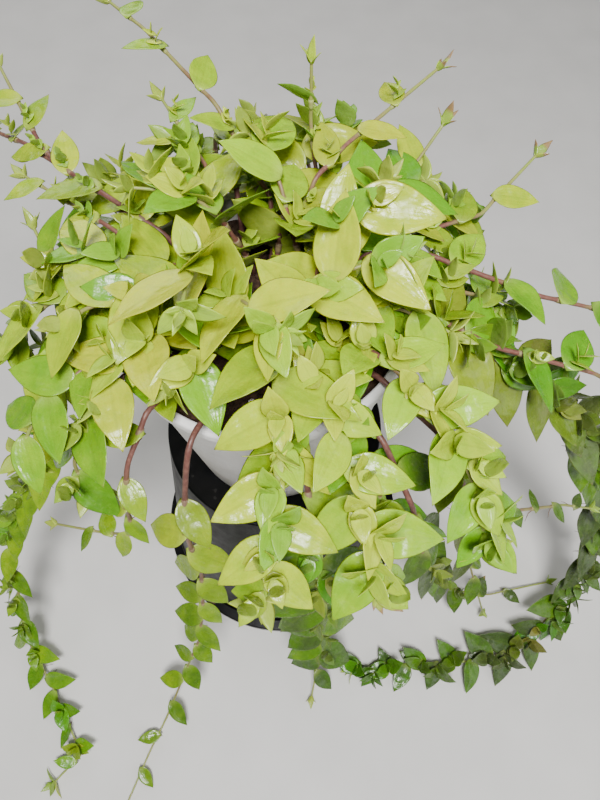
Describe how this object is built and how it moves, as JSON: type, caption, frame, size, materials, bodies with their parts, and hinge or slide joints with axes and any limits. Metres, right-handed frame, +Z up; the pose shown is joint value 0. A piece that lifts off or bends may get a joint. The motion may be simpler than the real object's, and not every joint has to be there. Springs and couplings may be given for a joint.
{
  "type": "potted turtle vine",
  "caption": "Trailing turtle vine with small pointed leaves, mounded over a round white pot and hanging round the upturned black pot that it stands on.",
  "frame": {"origin": "on the floor, at the axis of the two pots", "axes": "+Z up along the pots' axis, -Y towards the side that the picture shows, +X to its right"},
  "size_m": [0.5169, 0.4634, 0.4091],
  "materials": {
    "foliage": "semi-gloss living leaf and stem",
    "potting_soil": "rough crumbly soil",
    "white_plastic": "satin moulded plastic",
    "black_plastic": "glossy moulded plastic"
  },
  "bodies": {
    "root": {"mound_crown_01": "foliage", "mound_crown_02": "foliage", "mound_crown_03": "foliage", "mound_crown_04": "foliage", "mound_crown_05": "foliage", "mound_crown_06": "foliage", "mound_low_01": "foliage", "mound_low_02": "foliage", "mound_low_03": "foliage", "mound_low_04": "foliage", "mound_low_05": "foliage", "mound_low_06": "foliage", "mound_low_07": "foliage", "mound_low_09": "foliage", "mound_low_10": "foliage", "mound_middle_01": "foliage", "mound_middle_02": "foliage", "mound_middle_03": "foliage", "mound_middle_04": "foliage", "mound_middle_05": "foliage", "mound_middle_06": "foliage", "mound_middle_10": "foliage", "mound_top_01": "foliage", "mound_top_02": "foliage", "mound_top_03": "foliage", "mound_top_04": "foliage", "mound_top_05": "foliage", "mound_top_06": "foliage", "mound_top_07": "foliage", "pot": "white_plastic", "runner_back_left": "foliage", "runner_back_left_short": "foliage", "runner_back_right": "foliage", "runner_left": "foliage", "runner_left_back": "foliage", "runner_right_back": "foliage", "runner_right_lower": "foliage", "runner_right_upper": "foliage", "shoot_back": "foliage", "shoot_left": "foliage", "shoot_right_back": "foliage", "soil": "potting_soil", "spray_front_01": "foliage", "spray_front_02": "foliage", "spray_front_03": "foliage", "spray_front_left_01": "foliage", "spray_front_left_02": "foliage", "stand": "black_plastic", "vine_back_left": "foliage", "vine_back_right": "foliage", "vine_front": "foliage", "vine_front_left": "foliage", "vine_hanging_left": "foliage", "vine_hanging_right": "foliage", "vine_left_thin": "foliage", "vine_left_trailing": "foliage", "vine_right_low": "foliage", "vine_right_red": "foliage", "vine_right_trailing": "foliage"}
  },
  "joints": []
}
